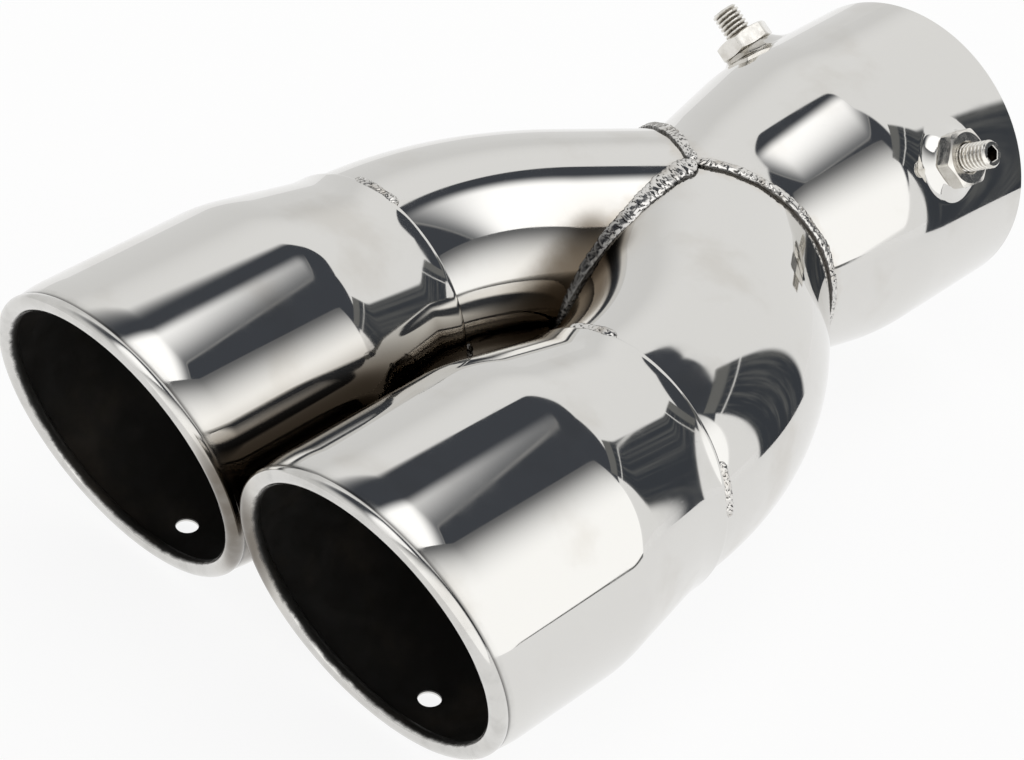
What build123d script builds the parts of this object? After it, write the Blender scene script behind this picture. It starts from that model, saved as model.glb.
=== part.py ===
"""Twin-outlet exhaust tip: a clamp-on inlet collar, two bent branch pipes and two slash-cut outlet tips.

Millimetres, +Z up. The origin is the centre of the inlet mouth. +Y points out of the inlet,
towards the car's own pipe. The outlets face -Y, one on each side of the plane X = 0.
"""
import os
from math import cos, pi, radians, sin, sqrt, tan

from build123d import *

# Inlet collar, drawn down from one tube
collar_bore = 63.0
collar_sheet = 1.5
collar_straight = 34.5
collar_taper = 30.5
collar_bend = 60.0

# Neck, where the collar ends in a vee between the two branch pipes
neck_run = 5.2
neck_step = 0.4
vee_lead = 6.8
vee_tilt = 28.0

# Branch pipes, each with one bend between two straight runs
branch_diameter = 55.0
branch_sheet = 1.2
branch_bend_radius = 68.0
branch_bend_angle = 38.0
branch_lead = 0.8
branch_insert = 12.0

# Outlet tips, spun, cut on a slant and rolled inwards at the mouth
tip_diameter = 65.6
tip_gap = 1.0
tip_sheet = 0.8
tip_length = 65.6
tip_sleeve = 4.0
tip_flare = 23.6
tip_bend = 40.0
slash_angle = 15.6
lip_roll = 4.2
lip_proud = 0.1
lip_curl_angle = 290.0
sleeve_clearance = 0.1
drain_diameter = 5.0
drain_setback = 18.5

# Weld beads
collar_bead = 3.4
collar_bead_sink = 0.4
crotch_bead = 4.4
crotch_bead_lift = 0.5
tack_bead = 2.6
tack_span = 24.0
tack_count = 4
left_tack_start = 0.0
right_tack_start = 20.0

# Clamp screws with their lock nuts, on drawn and tapped bosses
upper_screw_spread = 110.0
screw_setback = 22.8
screw_diameter = 6.0
screw_length = 12.0
screw_chamfer = 0.7
socket_width = 3.0
socket_depth = 3.5
screw_back_off = 1.0
thread_clearance = 0.08
nut_width = 11.0
nut_thickness = 3.4
nut_chamfer_angle = 20.0
nut_turns = {"upper_right": -7.0, "upper_left": -24.0, "lower": 0.0}
boss_diameter = 10.6
boss_height = 1.3
boss_fillet = 1.6

# Share of a run that the bends at its ends may take
bend_share = 0.98

# Worked out from the sizes above: radii
collar_radius = collar_bore / 2 + collar_sheet
branch_radius = branch_diameter / 2
neck_radius = branch_radius - neck_step
tip_radius = tip_diameter / 2
tip_offset = (tip_diameter + tip_gap) / 2
sleeve_radius = branch_radius + sleeve_clearance + tip_sheet
lip_tube_radius = lip_roll / 2
lip_ring_radius = tip_radius + lip_proud - lip_tube_radius

# Worked out: places along the part, as distances forward from the mouth of the inlet
bend_angle = radians(branch_bend_angle)
bend_end_offset = tip_offset - branch_bend_radius * (1 - cos(bend_angle))
axes_meet = collar_straight + collar_taper + neck_run
vee_depth = axes_meet + vee_lead
bend_end = axes_meet + bend_end_offset / tan(bend_angle)
bend_start = bend_end + branch_bend_radius * sin(bend_angle)
tip_back = bend_start - branch_lead
tip_reach = tip_back + tip_length

# Worked out: how far ahead of the axes' meeting point the branches' inner sides part, in a run or a bend
valley_in_run = branch_radius / sin(bend_angle)
inner_bend_radius = branch_bend_radius - branch_radius
bend_centre_offset = branch_bend_radius - tip_offset
valley_in_bend = bend_start - axes_meet - sqrt(inner_bend_radius**2 - bend_centre_offset**2)
parts_in_run = branch_radius * cos(bend_angle) < bend_end_offset
valley_reach = valley_in_run if parts_in_run else valley_in_bend

# Worked out: half the width of the vee, where a branch's outer side line runs through its slanted plane
tilt_rise = tan(radians(vee_tilt))
side_lead = vee_lead + branch_radius * (sin(bend_angle) - cos(bend_angle) * tilt_rise)
side_run = side_lead / (cos(bend_angle) + sin(bend_angle) * tilt_rise)
vee_half_width = branch_radius * cos(bend_angle) + side_run * sin(bend_angle)

# Worked out: places along a clamp screw, as distances from the collar's axis
nut_seat = collar_radius + boss_height
screw_inner_end = collar_bore / 2 + screw_back_off

# Length of a cutting tool that passes right through
overshoot = collar_bore

FULL_TURN = 360
QUARTER_TURN = FULL_TURN / 4
HEX_SIDES = 6
SIDES = {"left": -1, "right": 1}

# Worked out: where each clamp screw stands round the collar, from +X towards +Z
screw_angles = {
    "upper_right": QUARTER_TURN - upper_screw_spread / 2,
    "upper_left": QUARTER_TURN + upper_screw_spread / 2,
    "lower": -QUARTER_TURN,
}


def bent_line(outline, bend):
    """A line through (radius, y) points with bends as large as asked, or as the runs have room for."""
    points = [Vector(*point) for point in outline]
    runs = [after - before for before, after in zip(points, points[1:])]
    rooms = [run.length * bend_share for run in runs]
    rooms[1:-1] = [room / 2 for room in rooms[1:-1]]
    fits = [bend]
    for index in range(len(runs) - 1):
        half_turn = radians(runs[index].get_angle(runs[index + 1])) / 2
        fits.append(min(rooms[index], rooms[index + 1]) / tan(half_turn))
    return FilletPolyline(*outline, radius=min(fits))


def sheet_of_revolution(outline, bend, sheet):
    """Sheet of even thickness inside an outline of (radius, y) points, spun about the Y axis."""
    outer = bent_line(outline, bend)
    band = offset(outer, amount=sheet, side=Side.RIGHT, closed=True)
    return revolve(make_face(band), Axis.Y)


def solid_of_revolution(outline, bend):
    """The same outline filled up to the Y axis."""
    outer = bent_line(outline, bend)
    back, front = outline[0][1], outline[-1][1]
    rest = Polyline((outline[-1][0], front), (0, front), (0, back), (outline[0][0], back))
    return revolve(make_face([*outer.edges(), *rest.edges()]), Axis.Y)


def half_space(side):
    """A block that fills the given side of the plane X = 0 round the whole part."""
    reach = 2 * tip_reach
    return Pos(side * reach / 2, -reach / 2, 0) * Box(reach, 2 * reach, reach)


def vee_zone():
    """Everything in front of the two slanted planes at which the collar ends."""
    reach = tip_reach
    rise = reach * tilt_rise
    corners = [
        (0, -vee_depth),
        (reach, rise - vee_depth),
        (reach, -2 * reach),
        (-reach, -2 * reach),
        (-reach, rise - vee_depth),
    ]
    return extrude(make_face(Polyline(*corners, close=True)), amount=reach, both=True)


def collar_outline():
    """Outer line of the collar from the mouth to past the point of its vee."""
    neck_start = collar_straight + collar_taper
    return [
        (collar_radius, 0),
        (collar_radius, -collar_straight),
        (neck_radius, -neck_start),
        (neck_radius, -vee_depth - collar_sheet),
    ]


def screw_plane(name):
    """Plane on the collar's axis with local Z along the screw, pointing out of the collar."""
    angle = radians(screw_angles[name])
    return Plane(origin=(0, -screw_setback, 0), x_dir=(0, 1, 0), z_dir=(cos(angle), 0, sin(angle)))


def on_screw(name, shape, radius):
    """Places a shape with its base at a radius along one screw's axis."""
    return screw_plane(name) * Pos(0, 0, radius) * shape


def upright(radius, height):
    """A cylinder that stands on its base."""
    return Cylinder(radius, height, align=(Align.CENTER, Align.CENTER, Align.MIN))


def make_collar():
    """The collar with a filleted, tapped boss under each lock nut."""
    body = solid_of_revolution(collar_outline(), collar_bend)
    sheet = sheet_of_revolution(collar_outline(), collar_bend, collar_sheet)
    hollow = body - sheet
    for name in screw_angles:
        seat = upright(boss_diameter / 2, nut_seat)
        body += on_screw(name, seat, 0)
    feet = body.edges().filter_by(GeomType.BSPLINE)
    body = fillet(feet, boss_fillet)
    body -= hollow
    for name in screw_angles:
        tapped = upright(screw_diameter / 2 + thread_clearance, overshoot)
        body -= on_screw(name, tapped, 0)
    return body - vee_zone()


def branch_path(side):
    """Centre line of one branch: straight from inside the tip, one bend, straight through X = 0."""
    past = branch_diameter
    start = (tip_offset, -tip_back - branch_insert)
    turn_in = (tip_offset, -bend_start)
    turn_out = (bend_end_offset, -bend_end)
    end = (-past * sin(bend_angle), past * cos(bend_angle) - axes_meet)
    path = Line(start, turn_in) + TangentArc(turn_in, turn_out, tangent=(0, 1)) + Line(turn_out, end)
    return path if side > 0 else mirror(path, Plane.YZ)


def branch_tube(side, radius):
    """A full round bar along a branch's centre line, on its own side of X = 0 and ahead of the vee."""
    start = Plane(origin=(side * tip_offset, -tip_back - branch_insert, 0), z_dir=(0, 1, 0))
    bar = sweep(start * Circle(radius), path=branch_path(side))
    return bar & half_space(side) & vee_zone()


def make_branch(side):
    """One bent pipe, mitred on X = 0 and cut to the collar's vee."""
    return branch_tube(side, branch_radius) - branch_tube(side, branch_radius - branch_sheet)


def slash_plane(side):
    """Plane of the slanted mouth, with local Z pointing out of the outlet."""
    angle = radians(slash_angle)
    return Plane(
        origin=(side * tip_offset, -tip_reach, 0),
        x_dir=(1, 0, 0),
        z_dir=(0, -cos(angle), -sin(angle)),
    )


def tip_outline():
    """Outer line of a tip about its own axis, from the sleeve edge to past the mouth."""
    flare_start = tip_back + tip_sleeve
    flare_end = flare_start + tip_flare
    return [
        (sleeve_radius, -tip_back),
        (sleeve_radius, -flare_start),
        (tip_radius, -flare_end),
        (tip_radius, -tip_reach - tip_radius),
    ]


def make_lip(side):
    """The rolled mouth: the sheet curls in and back until it nearly meets the wall again."""
    mouth = slash_plane(side)
    ring = Edge.make_ellipse(lip_ring_radius, lip_ring_radius / cos(radians(slash_angle)), plane=mouth)
    section = Plane(
        origin=mouth.from_local_coords((lip_ring_radius, 0, 0)),
        x_dir=(1, 0, 0),
        z_dir=mouth.y_dir,
    )
    curl = CenterArc((0, 0), lip_tube_radius, 0, -lip_curl_angle)
    strip = make_face(offset(curl, amount=tip_sheet, side=Side.RIGHT, closed=True))
    return sweep(section * strip, path=ring)


def make_tip(side):
    """One outlet tip with its sleeve, flare, slanted mouth, rolled lip and drain hole."""
    wall = sheet_of_revolution(tip_outline(), tip_bend, tip_sheet)
    wall = Pos(side * tip_offset, 0, 0) * wall
    mouth = slash_plane(side)
    ahead = mouth * Pos(0, 0, overshoot / 2) * Box(2 * overshoot, 2 * overshoot, overshoot)
    body = (wall - ahead) + make_lip(side)
    drain_place = Pos(side * tip_offset, drain_setback - tip_reach, -overshoot)
    return body - drain_place * upright(drain_diameter / 2, overshoot)


def outer_form():
    """The collar and both branches filled solid, which the weld beads lie on."""
    collar = solid_of_revolution(collar_outline(), collar_bend) - vee_zone()
    return [collar] + [branch_tube(side, branch_radius) for side in SIDES.values()]


def make_crotch_bead():
    """Bead in the valley where the two branches meet on X = 0."""
    valley = Plane(origin=(0, -axes_meet, 0), x_dir=(0, -1, 0), z_dir=(1, 0, 0))
    reach = valley_reach + crotch_bead_lift
    height = branch_radius + crotch_bead_lift
    path = Edge.make_ellipse(reach, height, plane=valley)
    start = Plane(origin=path.position_at(0), x_dir=(1, 0, 0), z_dir=path.tangent_at(0))
    bead = sweep(start * Circle(crotch_bead / 2), path=path) & vee_zone()
    for form in outer_form():
        bead -= form
    return bead


def make_collar_bead(crotch):
    """Bead along the vee, where the collar's end meets the branches."""
    tilt = radians(vee_tilt)
    height = branch_radius - collar_bead_sink
    width = (vee_half_width - collar_bead_sink) / cos(tilt)
    halves = []
    for side in SIDES.values():
        seam = Plane(
            origin=(0, -vee_depth, 0),
            x_dir=(side * cos(tilt), sin(tilt), 0),
            z_dir=(side * sin(tilt), -cos(tilt), 0),
        )
        path = Edge.make_ellipse(width, height, plane=seam)
        start = Plane(origin=path.position_at(0), x_dir=seam.z_dir, z_dir=path.tangent_at(0))
        ring = sweep(start * Circle(collar_bead / 2), path=path)
        halves.append(ring & half_space(side))
    bead = halves[0] + halves[1]
    for form in outer_form():
        bead -= form
    return bead - crotch


def make_tacks(side, start):
    """Short beads round the sleeve edge of one tip, each a stretch of a ring on the branch."""
    section = Pos(branch_radius, 0) * Circle(tack_bead / 2)
    stretch = revolve(section, Axis.Y, revolution_arc=tack_span)
    under = solid_of_revolution(tip_outline(), tip_bend)
    tacks = []
    for index in range(tack_count):
        turn = start + index * FULL_TURN / tack_count - tack_span / 2
        tack = Rot(0, -turn, 0) * Pos(0, -tip_back, 0) * stretch - under
        tack = tack if side > 0 else mirror(tack, Plane.YZ)
        tacks.append(Pos(side * tip_offset, 0, 0) * tack - branch_tube(side, branch_radius))
    return Compound(children=tacks)


def hex_corner(across_flats):
    """Distance from the middle of a hexagon to its corners."""
    return across_flats / 2 / cos(pi / HEX_SIDES)


def hex_bar(across_flats, height):
    """A hexagonal bar that stands on its base."""
    return extrude(RegularPolygon(hex_corner(across_flats), HEX_SIDES), amount=height)


def make_nut():
    """A thin hexagon nut standing on its seat, chamfered on both faces."""
    corner = hex_corner(nut_width)
    face = nut_width / 2
    rise = (corner - face) * tan(radians(nut_chamfer_angle))
    outline = [
        (0, 0),
        (face, 0),
        (corner, rise),
        (corner, nut_thickness - rise),
        (face, nut_thickness),
        (0, nut_thickness),
    ]
    blank = revolve(Plane.XZ * make_face(Polyline(*outline, close=True)), Axis.Z)
    nut = hex_bar(nut_width, nut_thickness) & blank
    return nut - upright(screw_diameter / 2 + thread_clearance, nut_thickness)


def make_screw():
    """A socket set screw standing on its inner end, with both ends chamfered."""
    body = upright(screw_diameter / 2, screw_length)
    ends = body.edges().filter_by(GeomType.CIRCLE)
    body = chamfer(ends, screw_chamfer)
    return body - Pos(0, 0, screw_length - socket_depth) * hex_bar(socket_width, socket_depth)


def make_all():
    """Every node of the part by name."""
    nodes = {"inlet_collar": make_collar()}
    tack_start = {"left": left_tack_start, "right": right_tack_start}
    for name, side in SIDES.items():
        nodes[f"{name}_branch_pipe"] = make_branch(side)
        nodes[f"{name}_outlet_tip"] = make_tip(side)
        nodes[f"{name}_tip_tack_welds"] = make_tacks(side, tack_start[name])
    nodes["crotch_weld_bead"] = make_crotch_bead()
    nodes["collar_weld_bead"] = make_collar_bead(nodes["crotch_weld_bead"])
    for name, turn in nut_turns.items():
        nodes[f"{name}_lock_nut"] = on_screw(name, Rot(0, 0, turn) * make_nut(), nut_seat)
        nodes[f"{name}_clamp_screw"] = on_screw(name, make_screw(), screw_inner_end)
    return nodes


if __name__ == "__main__":
    os.makedirs("parts", exist_ok=True)
    for node, shape in make_all().items():
        export_step(shape, f"parts/{node}.step")
        print(node, len(shape.solids()), round(shape.volume), shape.is_valid)
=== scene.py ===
"""Looks of the twin-outlet exhaust tip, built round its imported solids.

Shapes are drawn in millimetres, in the part's own frame, and become metres in make_piece().
The inlet faces +Y, the two outlets face -Y and +Z is up.
"""
from math import atan2, cos, pi, radians, sin, tan

import bpy
import bmesh
import numpy as np
from mathutils import Matrix, Vector, noise


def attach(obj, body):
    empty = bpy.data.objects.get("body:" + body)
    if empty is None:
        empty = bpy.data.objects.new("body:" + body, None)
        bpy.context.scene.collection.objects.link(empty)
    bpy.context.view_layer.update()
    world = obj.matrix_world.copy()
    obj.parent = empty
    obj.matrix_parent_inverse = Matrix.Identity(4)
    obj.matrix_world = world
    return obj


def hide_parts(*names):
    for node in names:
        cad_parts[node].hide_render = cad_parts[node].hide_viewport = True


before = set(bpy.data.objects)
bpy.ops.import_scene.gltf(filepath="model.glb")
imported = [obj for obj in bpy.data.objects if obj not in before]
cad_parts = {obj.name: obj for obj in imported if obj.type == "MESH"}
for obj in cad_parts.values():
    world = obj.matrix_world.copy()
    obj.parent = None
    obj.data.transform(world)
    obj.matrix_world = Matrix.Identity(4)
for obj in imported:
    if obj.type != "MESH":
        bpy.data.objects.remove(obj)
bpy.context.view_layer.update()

MM = 0.001
SIDES = {"left": -1, "right": 1}

# Inlet collar
COLLAR_RADIUS = 33.0
COLLAR_SHEET = 1.5
COLLAR_STRAIGHT = 34.5
COLLAR_TAPER = 30.5
COLLAR_BEND = 60.0
NECK_RADIUS = 27.1
NECK_RUN = 5.2
VEE_LEAD = 6.8
VEE_TILT = radians(28.0)
VEE_ROWS_START = -46.0

# Branch pipes
BRANCH_RADIUS = 27.5
BRANCH_SHEET = 1.2
BEND_RADIUS = 68.0
BEND_ANGLE = radians(38.0)
BRANCH_LEAD = 0.8
BRANCH_INSERT = 12.0

# Outlet tips
TIP_OFFSET = 33.3
TIP_RADIUS = 32.8
TIP_SHEET = 0.8
TIP_LENGTH = 65.6
TIP_SLEEVE = 4.0
TIP_FLARE = 23.6
TIP_BEND = 40.0
SLEEVE_RADIUS = 28.4
SLASH = radians(15.6)
LIP_AHEAD = 2.1
LIP_RUN = 7.0
LIP_ROLL = 1.85
LIP_INSET = 2.25
LIP_CREASE = 0.65
# How fast the painted shade of the lip's crease fades on the wall and on the roll
LIP_CREASE_FADE = {"wall": 10.0, "roll": 5.0}
LIP_CURL = pi + 1.0
LIP_TUCK = 0.5
DRAIN_RADIUS = 2.3
DRAIN_SETBACK = 18.5

# Weld beads: their sizes, how far they stand off their seams, and where the tacks lie
COLLAR_BEAD = {"width": 2.8, "height": 0.75, "pitch": 1.5}
CROTCH_BEAD = {"width": 5.2, "height": 0.95, "pitch": 1.7}
TACK_BEAD = {"width": 2.4, "height": 0.75, "pitch": 1.3}
COLLAR_LIFT = 0.15
CROTCH_LIFT = 0.45
TACK_LIFT = 0.45
TACK_SETBACK = 0.35
TACK_SPAN = radians(24.0)
TACK_COUNT = 4
TACK_START = {"left": 0.0, "right": radians(20.0)}

# Unevenness of the beads, as shares of their size, and the lengths over which it comes and goes
BEAD_WANDER = 0.10
BEAD_SWELL = 0.22
BEAD_LUMP = 0.06
BEAD_LENGTHS = {"wander": 6.0, "swell": 5.0, "lump": 1.5, "fine": 2.6, "coarse": 7.0}
BEAD_NOSE = 0.75
BEAD_TIP = 0.12

# Ripples of the beads: size, shape across the bead, and share of fine and coarse unevenness
RIPPLE = 0.20
RIPPLE_BOW = 0.8
RIPPLE_LEAN = 0.25
RIPPLE_FINE = 0.9
RIPPLE_COARSE = 1.4
RIPPLE_POWER = 0.6
RIPPLE_MEAN = 0.6
RIPPLE_IN_WIDTH = 0.4
RIPPLE_IN_HEIGHT = 2.2
CROTCH_GIRTH = {"front": 0.26, "vee": 1.12}
# Share of the painted edge shade kept on a bead's paler side
LESS_SHADED_EDGE = 0.78

# Painted shade and reflection between the outlets, soot with painted shade in the crotch, and the heat tint
# by the seams: distances at which they start to show, and at which they show in full
GAP_ACROSS = (13.0, 2.0)
GAP_ALONG = (92.0, 106.0)
SOOT_SHADE_ACROSS = (24.0, 14.0)
SOOT_SHADE_ALONG = (86.0, 102.0)
SOOT_SHADE_UP = (26.0, 18.0)
SEAM_FAR = 99.0
PAINT_FAR = 30.0

# Clamp screws, lock nuts and bosses
SCREW_ANGLES = {"upper_right": radians(35), "upper_left": radians(145), "lower": radians(270)}
SCREW_SETBACK = 22.8
SCREW_RADIUS = 3.0
SCREW_START = 32.5
SCREW_LENGTH = 12.0
SCREW_PITCH = 1.0
THREAD_DEPTH = 0.6
THREAD_SLOPE = 1.7
THREAD_FLOOR = 0.12
SCREW_CHAMFER = 0.45
SOCKET_WIDTH = 3.0
SOCKET_DEPTH = 3.5
SOCKET_CHAMFER = 0.15
SOCKET_CONE = 0.6
HOLE_RADIUS = 3.08
NUT_SEAT = 34.3
NUT_WIDTH = 11.5
NUT_THICKNESS = 3.8
NUT_CHAMFER = radians(24.0)
NUT_FACE = 0.94
NUT_EDGE = 0.16
NUT_SINK = 0.5
NUT_TURNS = {"upper_right": radians(-7.0), "upper_left": radians(-24.0), "lower": 0.0}
BOSS_TOP = 5.9
BOSS_FOOT = 9.4
BOSS_FLARE = 2.1

# Mesh fineness: columns round every tube, the usual step along it, and rows of each stretch.
# A window is the part of a tube's grid that is filled round a hole; its reach is counted in cells.
COLUMNS = 288
ROW_STEP = 0.72
EDGE_ROUND = 0.2
SLEEVE_ROUND = 0.35
ROUND_STEPS = 5
VEE_ROWS = 40
VEE_ROUNDS = 20
BRANCH_ROWS = 121
BRANCH_SEARCH = {"length": 200.0, "points": 4001}
MOUTH_ROWS = 26
LIP_ROWS = {"wall": 22, "roll": 52}
SCREW_WINDOW = {"reach": 15, "rings": 32}
DRAIN_WINDOW = {"reach": 7, "rings": 8}
PROFILE_OVERRUN = 20.0
BEAD_STEP = 0.2
BEAD_SECTIONS = 28
TACK_PLACES = 40
NUT_COLUMNS = 144
SCREW_COLUMNS = 72
THREAD_ROWS = 16

# Places along the part, as in its source
AXES_MEET = COLLAR_STRAIGHT + COLLAR_TAPER + NECK_RUN
VEE_DEPTH = AXES_MEET + VEE_LEAD
VEE_RISE = tan(VEE_TILT)
BEND_END_OFFSET = TIP_OFFSET - BEND_RADIUS * (1 - cos(BEND_ANGLE))
BEND_END = AXES_MEET + BEND_END_OFFSET / tan(BEND_ANGLE)
BEND_START = BEND_END + BEND_RADIUS * sin(BEND_ANGLE)
TIP_BACK = BEND_START - BRANCH_LEAD
TIP_REACH = TIP_BACK + TIP_LENGTH

ANGLES = np.arange(COLUMNS) * 2 * pi / COLUMNS


class Shape:
    """A mesh in the making: points in millimetres, faces, and named values on the points."""

    def __init__(self):
        self.points = []
        self.faces = []
        self.values = {}

    def add(self, points, **values):
        """Adds points and returns their numbers. Each value is one number or one for each point."""
        points = np.asarray(points, float).reshape(-1, 3)
        first = len(self.points)
        self.points.extend(points.tolist())
        for name, value in values.items():
            filled = np.broadcast_to(np.asarray(value, float), (len(points),))
            self.values.setdefault(name, {}).update(zip(range(first, first + len(points)), filled))
        return np.arange(first, first + len(points))

    def strip(self, one, two, left_out=()):
        """Joins two rings of points of equal length with quads, apart from the columns left out."""
        for j in range(len(one)):
            if j not in left_out:
                k = (j + 1) % len(one)
                self.faces.append((one[j], one[k], two[k], two[j]))

    def fan(self, row, centre):
        """Closes a ring of points with triangles to a centre."""
        middle = self.add([centre])[0]
        for j in range(len(row)):
            self.faces.append((row[j], row[(j + 1) % len(row)], middle))

    def grid(self, rows, windows=()):
        """Joins rings one after another, leaving out the cells of each window."""
        for i, (one, two) in enumerate(zip(rows, rows[1:])):
            left_out = set()
            for (top, bottom), (first, last) in windows:
                if top <= i < bottom:
                    left_out.update(j % COLUMNS for j in range(first, last))
            self.strip(one, two, left_out)


def make_piece(node, shape, body, material, sharp=35.0):
    """Turns a shape into a smooth-shaded object that rides on a body and stands for a CAD node.

    The shape's named values become point attributes, which the materials read.
    """
    name = node + "_skin"
    mesh = bpy.data.meshes.new(name)
    mesh.from_pydata([[c * MM for c in p] for p in shape.points], [], shape.faces)
    work = bmesh.new()
    work.from_mesh(mesh)
    bmesh.ops.recalc_face_normals(work, faces=work.faces)
    work.to_mesh(mesh)
    work.free()
    mesh.shade_smooth()
    mesh.set_sharp_from_angle(angle=radians(sharp))
    piece = bpy.data.objects.new(name, mesh)
    bpy.context.scene.collection.objects.link(piece)
    mesh.materials.append(material)
    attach(piece, body)
    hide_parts(node)
    for label, held in shape.values.items():
        attribute = mesh.attributes.new(label, "FLOAT", "POINT")
        attribute.data.foreach_set("value", [held.get(i, 0.0) for i in range(len(shape.points))])


def ease(value, start, end):
    """Eases from 0 to 1 as a value goes from start to end, up or down."""
    share = np.clip((value - start) / (end - start), 0, 1)
    return share * share * (3 - 2 * share)


def rough(point, scale, seed):
    """Even noise from -1 to 1 at a point in millimetres."""
    return noise.noise(Vector(point) / scale + Vector((seed, 0, 0)))


def bent_profile(corners, bend, step=0.5):
    """(radius, y) samples along straight runs joined by arcs of one radius."""
    corners = [np.array(c, float) for c in corners]
    line = [corners[0]]
    for before, corner, after in zip(corners, corners[1:], corners[2:]):
        one = (corner - before) / np.linalg.norm(corner - before)
        two = (after - corner) / np.linalg.norm(after - corner)
        turn = atan2(one[0] * two[1] - one[1] * two[0], one @ two)
        reach = bend * tan(abs(turn) / 2)
        start = corner - one * reach
        side = np.array([-one[1], one[0]]) * np.sign(turn)
        centre = start + side * bend
        count = max(2, int(bend * abs(turn) / step))
        arm = start - centre
        for a in turn * np.linspace(0, 1, count + 1):
            turned = (arm[0] * cos(a) - arm[1] * sin(a), arm[0] * sin(a) + arm[1] * cos(a))
            line.append(centre + np.array(turned))
    line.append(corners[-1])
    return np.array(line)


def radius_along(profile):
    """A function that gives a profile's radius at any y."""
    order = np.argsort(profile[:, 1])
    ys, radii = profile[order, 1], profile[order, 0]
    return lambda y: np.interp(y, ys, radii)


def rows_between(*stops):
    """Heights that run from stop to stop in even steps of about the usual size."""
    runs = []
    for start, end in zip(stops, stops[1:]):
        count = max(1, int(round(abs(end - start) / ROW_STEP)))
        runs.append(np.linspace(start, end, count + 1)[:-1])
    return np.concatenate(runs + [stops[-1:]])


def rows_to(heights, edge, count):
    """Level rows at the given heights, then rows that run on evenly from the last to an uneven edge."""
    level = [np.full(COLUMNS, y) for y in heights]
    return level + [heights[-1] + (edge - heights[-1]) * share for share in np.linspace(0, 1, count)[1:]]


def round_window(shape, rows, row_span, column_span, surface, centre, hole, rings, **values):
    """Fills a window of a tube's grid with rings that close in on a round hole, and returns its edge."""
    (top, bottom), (first, last) = row_span, column_span
    loop = [(top, j) for j in range(first, last)]
    loop += [(i, last) for i in range(top, bottom)]
    loop += [(bottom, j) for j in range(last, first, -1)]
    loop += [(i, first) for i in range(bottom, top, -1)]
    edge = [rows[i][j % COLUMNS] for i, j in loop]
    angle, y, radius = centre
    turns = [(j * 2 * pi / COLUMNS - angle + pi) % (2 * pi) - pi for _, j in loop]
    outer = np.array([(turn * radius, shape.points[number][1] - y) for turn, number in zip(turns, edge)])
    inner = outer / np.linalg.norm(outer, axis=1)[:, None] * hole
    for share in np.arange(1, rings + 1) / rings:
        at = outer * (1 - share) + inner * share
        row = shape.add(surface(angle + at[:, 0] / radius, y + at[:, 1]), **values)
        shape.strip(edge, row)
        edge = row
    return edge


def tube_points(axis_x, radius, angles, y):
    """Points on a round tube along Y."""
    x, z = axis_x + radius * np.cos(angles), radius * np.sin(angles)
    return np.stack(np.broadcast_arrays(x, y, z), axis=-1)


def index_of(rows, value):
    """Number of the row nearest to a height."""
    return int(np.argmin(np.abs(np.asarray(rows) - value)))


def seam_distance(points):
    """Distance from each point to the collar seam or the crotch seam, taken at every fourth place."""
    points = np.asarray(points, float)
    seams = np.concatenate([collar_seam(side)[0] for side in SIDES.values()] + [crotch_seam()[0]])
    nearest = np.full(len(points), np.inf)
    for place in seams[::4]:
        nearest = np.minimum(nearest, np.linalg.norm(points - place, axis=1))
    return nearest


def facing(points):
    """How much each point belongs to the sides of the two outlets that face each other, where shade and
    reflection are painted.
    """
    x, y, _ = np.abs(np.asarray(points, float)).T
    return ease(x, *GAP_ACROSS) * ease(y, *GAP_ALONG)


def soot(points):
    """How far each point lies towards the front of the crotch, where soot and painted shade darken the weld
    and the pipes.
    """
    x, y, z = np.abs(np.asarray(points, float)).T
    return ease(x, *SOOT_SHADE_ACROSS) * ease(y, *SOOT_SHADE_ALONG) * ease(z, *SOOT_SHADE_UP)


def vee_half_width():
    """Half the width of the vee, as in the part's source."""
    lead = VEE_LEAD + BRANCH_RADIUS * (sin(BEND_ANGLE) - cos(BEND_ANGLE) * VEE_RISE)
    run = lead / (cos(BEND_ANGLE) + sin(BEND_ANGLE) * VEE_RISE)
    return BRANCH_RADIUS * cos(BEND_ANGLE) + run * sin(BEND_ANGLE)


def unit(vectors):
    """Vectors of length 1."""
    return vectors / np.linalg.norm(vectors, axis=1)[:, None]


def collar_seam(side, count=240):
    """Places along one half of the collar's seam, directions out of it and how deep a valley it lies in."""
    width = vee_half_width()
    middle = VEE_LEAD * sin(BEND_ANGLE) / (cos(BEND_ANGLE) + sin(BEND_ANGLE) * VEE_RISE)
    half = width - middle
    last = np.arccos(-middle / half)
    turn = np.linspace(-last, last, count)
    x = middle + half * np.cos(turn)
    places = np.stack([side * x, -VEE_DEPTH + x * VEE_RISE, BRANCH_RADIUS * np.sin(turn)], axis=-1)
    pipe = np.array([side * sin(BEND_ANGLE), -cos(BEND_ANGLE), 0])
    from_meet = places + np.array([0, AXES_MEET, 0])
    on_pipe = unit(from_meet - (from_meet @ pipe)[:, None] * pipe)
    on_collar = unit(places * np.array([1, 0, 1]))
    bend = np.sum(on_pipe * on_collar, axis=1)
    return places, unit(on_pipe + on_collar), np.sqrt(np.clip((1 - bend) / 2, 0, 1))


def crotch_seam(count=300):
    """Places along the valley between the branches, and directions out of it.

    It runs from the vee's upper point round the front to its lower point.
    """
    inner = BEND_RADIUS - BRANCH_RADIUS
    reach = BEND_START - AXES_MEET - (inner ** 2 - (BEND_RADIUS - TIP_OFFSET) ** 2) ** 0.5
    start = np.arcsin(np.clip(VEE_LEAD / reach, -1, 1))
    turn = np.linspace(pi / 2 - start, start - pi / 2, count)
    none, along, up = np.zeros(count), np.cos(turn), np.sin(turn)
    places = np.stack([none, -AXES_MEET - reach * along, BRANCH_RADIUS * up], axis=-1)
    return places, unit(np.stack([none, -along / reach, up / BRANCH_RADIUS], axis=-1))


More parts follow.
